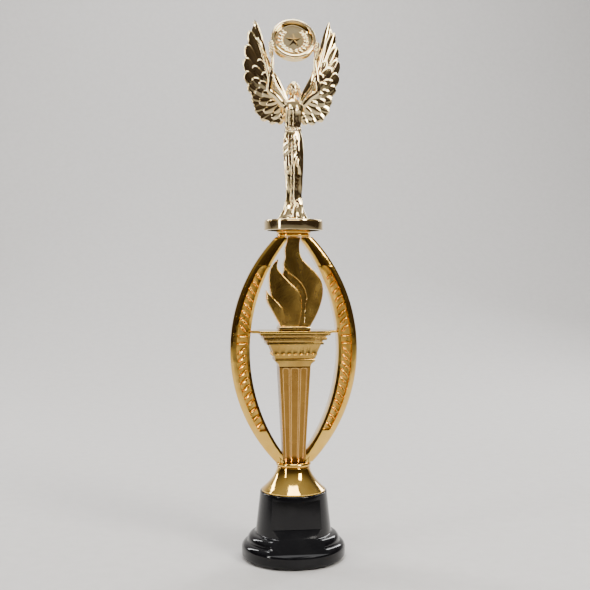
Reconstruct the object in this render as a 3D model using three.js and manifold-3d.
// A figure trophy: a winged figure holding up a medal, on an oval frame with a torch in its window,
// on a flared collar and a weighted round base. One threaded rod with a nut at each end clamps the
// whole stack. Millimetres, +Z up, front towards -Y, origin under the middle of the felt pad.
import * as THREE from "three";
import { mergeVertices } from "three/addons/utils/BufferGeometryUtils.js";
import Module from "manifold-3d";

const wasm = await Module();
wasm.setup();

// ---- Driving dimensions -------------------------------------------------------------------------
const seam = 0.2; // gap left between pieces that are stacked, glued or clamped face to face
const fitGap = 0.3; // gap left around a piece that is let into another
const wall = 2.2; // wall of the moulded shells
const roundSides = 40; // sides of the large turned pieces
const smallSides = 16; // sides of the fasteners

const pad = { radius: 32, thickness: 2 };
const base = {
  footRadius: 36.9,
  footHeight: 12.4, // top of the rounded foot
  lift: 0.8, // the shell stays this far off the table, and the felt carries the weight
  waistRadius: 26.9, // lower end of the cone
  waistHeight: 19.2,
  topRadius: 23.8,
  topHeight: 47.5,
};
const label = { bottom: 23.7, top: 44, bite: 6.6 }; // flat for a name plate, cut into the cone
const apron = { bottom: 9.4, ledge: 1, slope: 0.61 }; // sloping flat from under the label to the foot
const ballast = { shoulder: 15, wallGap: 0.6, pocketRadius: 11, pocketDepth: 6 }; // shoulder: its wide part
const rod = { radius: 2.5, clearance: 0.4, endAboveNut: 2 };
const nut = { flats: 8, height: 4 };
const washer = { radius: 9, thickness: 1.2 };

const collar = { inset: 1, topRadius: 11.7, height: 17, lip: 0.9 }; // inset from the base's top edge
const footBoss = { radius: 12.5, height: 3.2 };
const column = { bottomHalf: 7.6, topHalf: 11.1, height: 67.9, depthShare: 0.87 };
const flute = { count: 3, rib: 1.1, margin: 1.4, depth: 1, endGap: 2.5 };
const capital = { neckHeight: 3.2, beadHeight: 2.6, bellHeight: 9.6, slabHeight: 7.6, fluteCount: 7 };
const abacus = { archGap: 6, halfDepth: 14.6, tabHalfDepth: 5.5, thickness: 1.8 }; // gap beside its slab
const flame = {
  plinthHeight: 2.8,
  plinthHalf: 11.1,
  height: 62.9,
  halfDepth: 7.6,
  stepDepth: 1,
  tipHalf: 5,
};
const arch = {
  outerMid: 45.1, // half widths of the oval, at mid height and at its ends
  outerEnd: 13.1,
  innerMid: 31.5,
  innerEnd: 3.4,
  thickness: 14,
  bevel: 1.6,
  outerRim: 4.2,
  innerRim: 1.9,
  channelDepth: 3,
  channelBelow: 23, // plain length of the band under and over the channel
  channelAbove: 20,
};
const crown = { radius: 12.2, height: 4.4 };
const plate = { radius: 20.9, height: 7.5, hubRadius: 7 };

const medal = { radius: 16, rim: 2.5, depth: 6.5, recess: 4.5, tilt: 20, height: 126.7, back: 0.5 };
const grip = { angle: 29.3, outside: 2.2 }; // a palm's place: degrees under the medal's middle, how far out
const insert = { thickness: 1 };
const wing = { thickness: 2.4, sweep: 8, rootX: 4.5, rootY: 4 };
const figureDepthShare = 0.8; // the figure is this much as deep as it is wide
const nutPocketHeight = 1.4; // height of the captive nut above the underside of the figure

// ---- Heights of the stack -----------------------------------------------------------------------
const collarBottom = base.topHeight + seam;
const footBossBottom = collarBottom + collar.height + seam;
const columnBottom = footBossBottom + footBoss.height + seam;
const capitalBottom = columnBottom + column.height + seam;
const capitalHeight = capital.neckHeight + capital.beadHeight + capital.bellHeight + capital.slabHeight;
const abacusBottom = capitalBottom + capitalHeight + seam;
const flameBottom = abacusBottom + abacus.thickness + seam;
const flameTop = flameBottom + flame.plinthHeight + flame.height;
const crownBottom = flameTop + seam;
const plateBottom = crownBottom + crown.height + seam;
const figureBottom = plateBottom + plate.height + seam;
const ballastBottom = pad.thickness + seam;
const bore = rod.radius + rod.clearance;

// ---- Materials ----------------------------------------------------------------------------------
function finish(color, roughness, metalness) {
  return new THREE.MeshStandardMaterial({ color, roughness, metalness });
}
const materials = {
  black: finish(0x08080a, 0.12, 0),
  gold: finish(0xc8922a, 0.14, 1),
  satinGold: finish(0x9c6c2c, 0.34, 1),
  paleGold: finish(0xd9bd83, 0.12, 1),
  steel: finish(0xa9acae, 0.35, 1),
  plaster: finish(0xd8d4c8, 0.95, 0),
  felt: finish(0x16161a, 1, 0),
};

// ---- Helpers ------------------------------------------------------------------------------------
const trophy = new THREE.Group();

function addPiece(name, geometry, material) {
  const mesh = new THREE.Mesh(geometry, material);
  mesh.name = name;
  trophy.add(mesh);
  return mesh;
}

// A closed solid turned about Z from [radius, height] points, listed anticlockwise.
function turned(profile, sides = roundSides) {
  const points = profile.map(([r, z]) => new THREE.Vector2(r, z));
  if (profile[0][0] > 0) points.push(points[0].clone());
  return new THREE.LatheGeometry(points, sides).rotateX(Math.PI / 2);
}

// A plain cylinder or ring between two heights.
function ring(outer, inner, bottom, top, sides = roundSides) {
  return turned([[inner, bottom], [outer, bottom], [outer, top], [inner, top]], sides);
}

// An outline drawn in X and Z, extruded along Y and centred on y.
function slab(shape, thickness, y = 0, bevel = 0, curveSegments = 12) {
  const geometry = new THREE.ExtrudeGeometry(shape, {
    depth: thickness - 2 * bevel,
    bevelEnabled: bevel > 0,
    bevelThickness: bevel,
    bevelSize: bevel,
    bevelOffset: -bevel,
    bevelSegments: 2,
    curveSegments,
  });
  return geometry.translate(0, 0, bevel - thickness / 2).rotateX(Math.PI / 2).translate(0, y, 0);
}

function box(x0, x1, y0, y1, z0, z1) {
  const geometry = new THREE.BoxGeometry(x1 - x0, y1 - y0, z1 - z0);
  return geometry.translate((x0 + x1) / 2, (y0 + y1) / 2, (z0 + z1) / 2);
}

// A block with a rectangular section that changes from bottom to top: half sizes in X and Y.
function taper(bottomX, bottomY, topX, topY, bottom, top) {
  const geometry = new THREE.BoxGeometry(2, 2, 2);
  const position = geometry.attributes.position;
  for (let i = 0; i < position.count; i++) {
    const up = position.getZ(i) > 0;
    const x = position.getX(i) * (up ? topX : bottomX);
    const y = position.getY(i) * (up ? topY : bottomY);
    position.setXYZ(i, x, y, up ? top : bottom);
  }
  return geometry;
}

function toSolid(geometry) {
  const bare = geometry.clone();
  bare.deleteAttribute("normal");
  bare.deleteAttribute("uv");
  const merged = mergeVertices(bare, 1e-3);
  const vertProperties = new Float32Array(merged.attributes.position.array);
  const triVerts = new Uint32Array(merged.index.array);
  return new wasm.Manifold(new wasm.Mesh({ numProp: 3, vertProperties, triVerts }));
}

function toGeometry(solid) {
  const { vertProperties, triVerts } = solid.getMesh();
  const geometry = new THREE.BufferGeometry();
  geometry.setAttribute("position", new THREE.BufferAttribute(new Float32Array(vertProperties), 3));
  geometry.setIndex(new THREE.BufferAttribute(new Uint32Array(triVerts), 1));
  return geometry;
}

const joined = (...parts) => parts.map(toSolid).reduce((all, part) => all.add(part));
const cut = (solid, ...tools) => tools.reduce((left, tool) => left.subtract(toSolid(tool)), solid);

// A smooth closed outline in X and Z through [x, z] points, with sharp corners between the runs.
function outline(...runs) {
  const shape = new THREE.Shape();
  shape.moveTo(...runs[0][0]);
  for (const [start, ...rest] of runs) {
    if (shape.currentPoint.distanceTo(new THREE.Vector2(...start)) > 1e-6) shape.lineTo(...start);
    if (rest.length > 1) shape.splineThru(rest.map((p) => new THREE.Vector2(...p)));
    else shape.lineTo(...rest[0]);
  }
  return shape;
}

// ---- Base: felt pad, moulded shell, cast ballast ------------------------------------------------
addPiece("felt_pad", ring(pad.radius, 0, 0, pad.thickness), materials.felt);

const coneSlope = (base.waistRadius - base.topRadius) / (base.topHeight - base.waistHeight);
const coneRadius = (z) => base.waistRadius - coneSlope * (z - base.waistHeight);

// The flat for a name plate: a block in front of a plane that leans back with the cone.
function labelCutter(inset) {
  const reach = base.footRadius;
  const faceAt = (z) => -(coneRadius(z) - label.bite - inset);
  const low = label.bottom - inset;
  const high = label.top + inset;
  const cutter = taper(reach, 1, reach, 1, low, high);
  const position = cutter.attributes.position;
  for (let i = 0; i < position.count; i++) {
    const back = position.getY(i) > 0;
    position.setY(i, back ? faceAt(position.getZ(i)) : -reach);
  }
  return cutter;
}

// The sloping flat under it: it starts a ledge further out, and comes forward towards the foot.
function apronCutter(inset) {
  const reach = base.footRadius + 1;
  const overlap = 0.5; // into the room that the label's cutter has already cleared
  const start = coneRadius(label.bottom) - label.bite + apron.ledge;
  const faceAt = (z) => -(start + (label.bottom - z) * apron.slope) + inset * Math.hypot(1, apron.slope);
  const cutter = taper(reach, 1, reach, 1, apron.bottom - inset, label.bottom + overlap);
  const position = cutter.attributes.position;
  for (let i = 0; i < position.count; i++) {
    position.setY(i, position.getY(i) > 0 ? faceAt(position.getZ(i)) : -reach);
  }
  return cutter;
}

function baseProfile(inset) {
  const { footRadius, footHeight, lift, waistRadius, waistHeight, topRadius, topHeight } = base;
  const bottom = inset > 0 ? 0 : lift;
  const round = 3; // rounding of the foot's upper and lower edges
  return [
    [0, bottom],
    [footRadius - round * 0.6 - inset, bottom],
    [footRadius - 0.3 - inset, lift + round * 0.6],
    [footRadius - inset, lift + round * 1.5],
    [footRadius - 0.5 - inset, footHeight - round - inset * 0.5],
    [footRadius - round * 0.9 - inset, footHeight - inset],
    [footRadius - round * 1.3 - inset, footHeight + 0.2 - inset],
    [(footRadius + waistRadius) / 2 - inset, (footHeight + waistHeight) / 2 + 1 - inset],
    [waistRadius + 1.4 - inset, waistHeight - 1 - inset],
    [waistRadius - inset, waistHeight - inset * 0.4],
    [topRadius - inset, topHeight - 0.8 - inset],
    [topRadius - 0.8 - inset, topHeight - inset],
    [0, topHeight - inset],
  ];
}

const baseOuter = cut(toSolid(turned(baseProfile(0))), labelCutter(0), apronCutter(0));
const baseHollow = cut(toSolid(turned(baseProfile(wall))), labelCutter(wall), apronCutter(wall));
const rodHole = ring(bore, 0, base.topHeight - 2 * wall, base.topHeight + 1, smallSides);
addPiece("base_shell", toGeometry(cut(baseOuter.subtract(baseHollow), rodHole)), materials.black);

const footRounding = 5; // room for the rounding of the foot
const shellRadius = (z) => (z < base.footHeight ? base.footRadius - footRounding : base.waistRadius);
const ballastRadius = (z) => shellRadius(z) - wall - ballast.wallGap;
const pocketTop = ballastBottom + ballast.pocketDepth;
const shoulderTop = ballastBottom + ballast.shoulder;
const ballastTop = base.topHeight - wall - seam;
const stemRadius = coneRadius(label.top + wall) - label.bite - wall - ballast.wallGap;
const ballastRing = turned([
  [bore, pocketTop],
  [ballast.pocketRadius, pocketTop],
  [ballast.pocketRadius, ballastBottom],
  [ballastRadius(0), ballastBottom],
  [ballastRadius(0), base.footHeight - wall - 1],
  [ballastRadius(base.waistHeight) - 1, shoulderTop],
  [stemRadius, shoulderTop],
  [stemRadius, ballastTop],
  [bore, ballastTop],
]);
const ballastSolid = cut(toSolid(ballastRing), apronCutter(wall + ballast.wallGap));
addPiece("ballast", toGeometry(ballastSolid), materials.plaster);

// ---- Rod, nuts and washers ----------------------------------------------------------------------
function hexNut(bottom) {
  const hexRadius = nut.flats / Math.sqrt(3);
  return cut(
    toSolid(ring(hexRadius, 0, bottom, bottom + nut.height, 6)),
    ring(rod.radius + 0.1, 0, bottom - 1, bottom + nut.height + 1, smallSides),
  );
}

const washerTop = pocketTop - seam;
const lowerNutBottom = washerTop - washer.thickness - seam - nut.height;
const upperNutBottom = figureBottom + nutPocketHeight;
const rodBottom = ballastBottom + seam;
const rodTop = upperNutBottom + nut.height + rod.endAboveNut;
const washerGeometry = () =>
  ring(washer.radius, rod.radius + 0.2, washerTop - washer.thickness, washerTop, smallSides);
addPiece("base_washer", washerGeometry(), materials.steel);
addPiece("base_nut", toGeometry(hexNut(lowerNutBottom)), materials.steel);
addPiece("figure_nut", toGeometry(hexNut(upperNutBottom)), materials.steel);
const chamfer = 0.6;
addPiece(
  "tie_rod",
  turned(
    [
      [0, rodBottom],
      [rod.radius - chamfer, rodBottom],
      [rod.radius, rodBottom + chamfer],
      [rod.radius, rodTop - chamfer],
      [rod.radius - chamfer, rodTop],
      [0, rodTop],
    ],
    smallSides,
  ),
  materials.steel,
);

// ---- Collar and the frame's foot ----------------------------------------------------------------
// A bell curve from the wide lip to the neck: share 0 at the lip, 1 at the neck.
const lipRadius = base.topRadius - collar.inset;
function collarRadius(share, inset = 0) {
  const spread = (1 - share) ** 1.75;
  return collar.topRadius + (lipRadius - collar.topRadius) * spread - inset;
}

const collarSteps = 6;
const collarOuter = [];
const collarInner = [];
for (let i = 0; i <= collarSteps; i++) {
  const share = i / collarSteps;
  const z = collarBottom + collar.lip + share * (collar.height - collar.lip);
  collarOuter.push([collarRadius(share), z]);
  if (i < collarSteps) collarInner.unshift([collarRadius(share, wall), z - collar.lip]);
}
const collarTop = collarBottom + collar.height;
addPiece(
  "flared_collar",
  turned([
    [lipRadius, collarBottom],
    ...collarOuter,
    [bore, collarTop],
    [bore, collarTop - wall],
    ...collarInner,
  ]),
  materials.gold,
);

const bossRound = 1;
addPiece(
  "frame_foot",
  turned([
    [bore, footBossBottom],
    [footBoss.radius - bossRound, footBossBottom],
    [footBoss.radius, footBossBottom + bossRound],
    [footBoss.radius, footBossBottom + footBoss.height - bossRound],
    [footBoss.radius - bossRound, footBossBottom + footBoss.height],
    [bore, footBossBottom + footBoss.height],
  ]),
  materials.gold,
);

// ---- Oval frame: a left and a right arch --------------------------------------------------------
const archBottom = columnBottom;
const archHalfHeight = (flameTop - archBottom) / 2;
const archMiddle = archBottom + archHalfHeight;

// The circle through an arc's middle and its two ends, moved sideways by an offset.
function archCircle(mid, end) {
  const rise = mid - end;
  const radius = (archHalfHeight ** 2 + rise ** 2) / (2 * rise);
  return { radius, centre: mid - radius };
}
const outerCircle = archCircle(arch.outerMid, arch.outerEnd);
const innerCircle = archCircle(arch.innerMid, arch.innerEnd);

// The area between two such arcs, from one height to another.
function crescent(outer, inner, bottom, top) {
  const angle = (circle, z) => Math.asin((z - archMiddle) / circle.radius);
  const shape = new THREE.Shape();
  shape.absarc(outer.centre, archMiddle, outer.radius, angle(outer, bottom), angle(outer, top), false);
  shape.absarc(inner.centre, archMiddle, inner.radius, angle(inner, top), angle(inner, bottom), true);
  return shape;
}

const archOutline = crescent(outerCircle, innerCircle, archBottom, flameTop);
const band = slab(archOutline, arch.thickness, 0, arch.bevel, 14);
const channelShape = crescent(
  { centre: outerCircle.centre, radius: outerCircle.radius - arch.outerRim },
  { centre: innerCircle.centre, radius: innerCircle.radius + arch.innerRim },
  archBottom + arch.channelBelow,
  flameTop - arch.channelAbove,
);
const channelY = arch.thickness / 2;
const archSolid = cut(
  toSolid(band),
  slab(channelShape, 2 * arch.channelDepth, -channelY, 0, 10),
  slab(channelShape, 2 * arch.channelDepth, channelY, 0, 10),
  ...columnAndRodSpace(),
);

// Room for the column's foot and the rod, where the two arches close in on them.
function columnAndRodSpace() {
  const half = column.bottomHalf + fitGap;
  const grow = (column.topHalf - column.bottomHalf) / column.height;
  const height = 12;
  const deep = arch.thickness;
  const neck = flame.tipHalf + fitGap;
  return [
    taper(half, deep, half + grow * height, deep, archBottom - 1, archBottom + height),
    box(-neck, neck, -deep, deep, flameTop - 12, flameTop + 1),
  ];
}

addPiece("arch_right", toGeometry(archSolid), materials.gold);
addPiece("arch_left", toGeometry(archSolid), materials.gold).scale.x = -1;

// ---- Torch: fluted column, capital, abacus plate and flame --------------------------------------
const columnDepth = (half) => half * column.depthShare;
const columnTop = columnBottom + column.height;

function columnFlutes() {
  const lean = Math.atan((columnDepth(column.topHalf) - columnDepth(column.bottomHalf)) / column.height);
  const cutters = [];
  const low = columnBottom + flute.endGap;
  const high = columnTop - flute.endGap;
  const edge = (half, i) => {
    const width = (2 * (half - flute.margin) - (flute.count - 1) * flute.rib) / flute.count;
    return -half + flute.margin + i * (width + flute.rib);
  };
  const widthAt = (half) => edge(half, 1) - edge(half, 0) - flute.rib;
  for (let i = 0; i < flute.count; i++) {
    const left = edge(column.bottomHalf, i);
    const leftTop = edge(column.topHalf, i);
    const panel = outline(
      [[left, low], [left + widthAt(column.bottomHalf), low]],
      [[left + widthAt(column.bottomHalf), low], [leftTop + widthAt(column.topHalf), high]],
      [[leftTop + widthAt(column.topHalf), high], [leftTop, high]],
    );
    for (const side of [-1, 1]) {
      const cutter = slab(panel, 2 * flute.depth);
      cutter.translate(0, 0, -columnBottom).rotateX(-side * lean);
      cutters.push(cutter.translate(0, side * columnDepth(column.bottomHalf), columnBottom));
    }
  }
  return cutters;
}

const throughBore = (bottom, top) => ring(bore, 0, bottom - 1, top + 1, smallSides);
const columnSolid = cut(
  toSolid(
    taper(
      column.bottomHalf,
      columnDepth(column.bottomHalf),
      column.topHalf,
      columnDepth(column.topHalf),
      columnBottom,
      columnTop,
    ),
  ),
  throughBore(columnBottom, columnTop),
  ...columnFlutes(),
);
addPiece("torch_column", toGeometry(columnSolid), materials.satinGold);

// Half width of the room between the two arches at a height.
const innerEdgeAt = (z) => innerCircle.centre + Math.sqrt(innerCircle.radius ** 2 - (z - archMiddle) ** 2);
const abacusHalf = innerEdgeAt(abacusBottom) - abacus.archGap;

// The capital's steps from the bottom up. Each widens by a share of the way from column to abacus.
const neckTop = capitalBottom + capital.neckHeight;
const beadTop = neckTop + capital.beadHeight;
const bellTop = beadTop + capital.bellHeight;
const slabStep = capital.slabHeight / 3;
const weld = 0.1; // overlap between the steps of one piece
const stepX = (share) => column.topHalf + share * (abacusHalf - column.topHalf);
const columnTopDepth = columnDepth(column.topHalf);
const stepY = (share) => columnTopDepth + share * (abacus.halfDepth - columnTopDepth);
const step = (low, high, bottom, top) =>
  taper(stepX(low), stepY(low), stepX(high), stepY(high), bottom, top);
const bell = { low: 0.26, high: 0.5 };
const capitalSteps = [
  step(0, 0.16, capitalBottom, neckTop),
  step(0.21, 0.21, neckTop - weld, beadTop),
  step(bell.low, bell.high, beadTop - weld, bellTop),
  step(0.645, 0.645, bellTop - weld, bellTop + slabStep),
  step(0.8, 0.8, bellTop + slabStep - weld, bellTop + 2 * slabStep),
  step(0.84, 0.97, bellTop + 2 * slabStep - weld, bellTop + 3 * slabStep),
];
const bellFlutes = [];
const bellFlute = { margin: 0.1, rib: 1.4, depth: 1.2, low: 3.6, high: 1.2 };
const bellPitch = (2 * (stepX(bell.low) - bellFlute.margin)) / capital.fluteCount;
for (let i = 0; i < capital.fluteCount; i++) {
  const x = (i - (capital.fluteCount - 1) / 2) * bellPitch;
  const half = (bellPitch - bellFlute.rib) / 2;
  for (const side of [-1, 1]) {
    const y = side * stepY((bell.low + bell.high) / 2);
    const [near, far] = [y - bellFlute.depth, y + bellFlute.depth];
    bellFlutes.push(box(x - half, x + half, near, far, beadTop + bellFlute.low, bellTop - bellFlute.high));
  }
}
const capitalSolid = cut(joined(...capitalSteps), throughBore(capitalBottom, abacusBottom), ...bellFlutes);
addPiece("torch_capital", toGeometry(capitalSolid), materials.satinGold);

// The abacus plate lies on the capital, and its two tabs reach the arches.
const abacusTop = abacusBottom + abacus.thickness;
const tabReach = Math.min(innerEdgeAt(abacusBottom), innerEdgeAt(abacusTop)) - fitGap;
const abacusSolid = cut(
  joined(
    box(-abacusHalf, abacusHalf, -abacus.halfDepth, abacus.halfDepth, abacusBottom, abacusTop),
    box(-tabReach, tabReach, -abacus.tabHalfDepth, abacus.tabHalfDepth, abacusBottom, abacusTop),
  ),
  throughBore(abacusBottom, abacusTop),
);
addPiece("abacus_plate", toGeometry(abacusSolid), materials.satinGold);

// The flame: three tongues one in front of the other, on a low plinth. Their outlines are in shares of
// the room beside them and of the flame's height, so they stay clear of the arches.
const flameFoot = flameBottom + flame.plinthHeight;
const footShare = flame.plinthHalf / innerEdgeAt(flameFoot);
const flamePoint = ([across, up]) => {
  const z = flameFoot + up * flame.height;
  return [across * innerEdgeAt(z), z];
};
const tongue = (...runs) => outline(...runs.map((run) => run.map(flamePoint)));
const tip = flame.tipHalf / innerEdgeAt(flameTop);
const mainTongue = tongue(
  [[-footShare, 0], [footShare, 0]],
  [
    [footShare, 0],
    [0.6, 0.22],
    [0.78, 0.36],
    [0.88, 0.47],
    [0.84, 0.57],
    [0.63, 0.72],
    [0.34, 0.82],
    [0.5, 0.92],
    [tip, 1],
  ],
  [[tip, 1], [-tip, 1]],
  [[-tip, 1], [-0.62, 0.9], [-0.5, 0.8], [-0.53, 0.7], [-0.6, 0.5], [-0.5, 0.2], [-footShare, 0]],
);
const middleTongue = tongue(
  [[-footShare, 0], [0.1, 0]],
  [[0.1, 0], [0.2, 0.25], [0.14, 0.42], [-0.16, 0.55], [-0.54, 0.67], [-0.77, 0.75]],
  [[-0.77, 0.75], [-0.9, 0.67], [-0.87, 0.56], [-0.76, 0.46], [-0.5, 0.3], [-footShare, 0]],
);
const frontTongue = tongue(
  [[-footShare, 0], [-0.2, 0]],
  [[-0.2, 0], [-0.18, 0.13], [-0.34, 0.25], [-0.64, 0.34], [-0.84, 0.41]],
  [[-0.84, 0.41], [-0.82, 0.32], [-0.71, 0.21], [-0.54, 0.1], [-footShare, 0]],
);
const plinthDepth = columnDepth(flame.plinthHalf);
const flameSolid = cut(
  joined(
    taper(flame.plinthHalf, plinthDepth, flame.plinthHalf, plinthDepth, flameBottom, flameFoot + weld),
    slab(mainTongue, 2 * flame.halfDepth, 0, 0, 3),
    slab(middleTongue, 2 * (flame.halfDepth + flame.stepDepth), 0, 0, 3),
    slab(frontTongue, 2 * (flame.halfDepth + 2 * flame.stepDepth), 0, 0, 3),
  ),
  throughBore(flameBottom, flameTop),
);
addPiece("torch_flame", toGeometry(flameSolid), materials.satinGold);

// ---- Crown disc and the figure's plate ----------------------------------------------------------
addPiece("frame_crown", ring(crown.radius, bore, crownBottom, crownBottom + crown.height), materials.gold);

const plateTop = plateBottom + plate.height;
const plateRound = 0.6;
addPiece(
  "figure_plate",
  turned([
    [bore, plateBottom],
    [plate.hubRadius, plateBottom],
    [plate.hubRadius, plateTop - wall],
    [plate.radius - wall, plateTop - wall],
    [plate.radius - wall, plateBottom],
    [plate.radius, plateBottom],
    [plate.radius, plateTop - plateRound],
    [plate.radius - plateRound, plateTop],
    [bore, plateTop],
  ]),
  materials.paleGold,
);

// ---- Winged figure ------------------------------------------------------------------------------
// Half widths of the gown and the body, by height over the plate.
const gown = [
  [10.2, 0],
  [10.2, 1.4],
  [7.6, 5.6],
  [5.8, 12],
  [5.1, 17],
  [6.5, 33],
  [7.2, 50],
  [5.5, 66],
  [7.6, 77],
  [7.9, 80],
  [6, 83.6],
  [2.4, 85],
  [2.2, 88],
];

function gownSolid(grow) {
  const profile = gown.map(([half, height]) => [half + grow, figureBottom + height]);
  profile.unshift([0, figureBottom]);
  profile.push([0, figureBottom + gown[gown.length - 1][1]]);
  return turned(profile, 24).scale(1, figureDepthShare, 1);
}

// A limb: a round bar from one point to another, with a radius at each end.
function limb(from, to, fromRadius, toRadius) {
  const a = new THREE.Vector3(from[0], from[1], figureBottom + from[2]);
  const b = new THREE.Vector3(to[0], to[1], figureBottom + to[2]);
  const along = b.clone().sub(a);
  const geometry = new THREE.CylinderGeometry(toRadius, fromRadius, along.length(), 10);
  geometry.applyQuaternion(
    new THREE.Quaternion().setFromUnitVectors(new THREE.Vector3(0, 1, 0), along.normalize()),
  );
  return geometry.translate(...a.add(b).multiplyScalar(0.5).toArray());
}

function ball(at, radius, stretch = [1, 1, 1]) {
  const geometry = new THREE.SphereGeometry(radius, 10, 8).scale(...stretch);
  return geometry.translate(at[0], at[1], figureBottom + at[2]);
}

function arm(side) {
  const angle = THREE.MathUtils.degToRad(grip.angle);
  const reach = medal.radius + grip.outside;
  const palm = [side * reach * Math.cos(angle), medal.back - 2.9, medal.height - reach * Math.sin(angle)];
  const wrist = [palm[0] - side * 0.8, palm[1] - 0.2, palm[2] - 5.9];
  const shoulder = [side * 7, 0.6, 81];
  const elbow = [side * 17.3, -1.2, 90.6];
  return [
    ball(shoulder, 2.9),
    limb(shoulder, elbow, 2.6, 1.9),
    ball(elbow, 2),
    limb(elbow, wrist, 1.9, 1.3),
    limb(wrist, palm, 1.3, 1.7),
    ball(palm, 2.1, [0.8, 1, 1.3]),
  ];
}

// The medal leans back: a piece built about the origin is turned and lifted to its place.
function medalPlace(geometry) {
  return geometry
    .rotateX(Math.PI / 2 - THREE.MathUtils.degToRad(medal.tilt))
    .translate(0, medal.back, figureBottom + medal.height);
}

const medalFront = medal.depth / 2;
const recessRadius = medal.radius - medal.rim;
const recessFloor = medalFront - medal.recess;
const medalSides = 32;
const medalEnvelope = ring(medal.radius + fitGap, 0, -medalFront - fitGap, medalFront + fitGap, medalSides);
const nutSpace = ring(nut.flats / Math.sqrt(3) + fitGap, 0, -seam, nut.height + seam, 6);
const figureSolid = cut(
  joined(gownSolid(0), ball([0, -0.4, 91.6], 4.1, [0.95, 1.05, 1.25]), ...arm(-1), ...arm(1)),
  medalPlace(medalEnvelope),
  ring(bore, 0, figureBottom - 1, rodTop + 0.5, smallSides),
  nutSpace.translate(0, 0, upperNutBottom),
);
addPiece("winged_figure_body", toGeometry(figureSolid), materials.paleGold);

addPiece(
  "medal_holder",
  medalPlace(
    turned(
      [
        [0, -medalFront],
        [medal.radius, -medalFront],
        [medal.radius, medalFront],
        [recessRadius, medalFront],
        [recessRadius, recessFloor],
        [0, recessFloor],
      ],
      medalSides,
    ),
  ),
  materials.paleGold,
);
const insertBottom = recessFloor + seam;
addPiece(
  "medal_insert",
  medalPlace(ring(recessRadius - fitGap, 0, insertBottom, insertBottom + insert.thickness, medalSides)),
  materials.paleGold,
);

// A wing in front view, by distance from the middle and height over the plate. It sweeps back.
const onWing = (run) => run.map(([across, height]) => [across, figureBottom + height]);
const wingUnderside = [
  [wing.rootX, 68], [9, 66.9], [15, 69], [21.4, 71.6], [25, 76.4], [27.6, 83], [28.2, 89],
];
const wingOuterEdge = [[28.2, 89], [31.4, 97.5], [33.2, 106], [33.6, 116], [32.7, 127.4]];
const wingTip = [[32.7, 127.4], [30.9, 131.4], [29.8, 136], [27, 141.7]];
const wingInnerEdge = [
  [27, 141.7], [24.9, 134], [22.8, 122], [19.4, 112], [16.6, 101], [11, 90.5], [wing.rootX, 84],
];
const wingOutline = outline(
  onWing(wingUnderside),
  onWing(wingOuterEdge),
  onWing(wingTip),
  onWing(wingInnerEdge),
);
const bodyClearance = toSolid(gownSolid(fitGap));

function wingGeometry() {
  const flat = slab(wingOutline, wing.thickness, wing.thickness / 2, 0, 3);
  flat.translate(-wing.rootX, 0, 0).rotateZ(THREE.MathUtils.degToRad(wing.sweep));
  flat.translate(wing.rootX, wing.rootY, 0);
  return toGeometry(toSolid(flat).subtract(bodyClearance));
}

addPiece("wing_right", wingGeometry(), materials.paleGold);
addPiece("wing_left", wingGeometry(), materials.paleGold).scale.x = -1;

export default trophy;
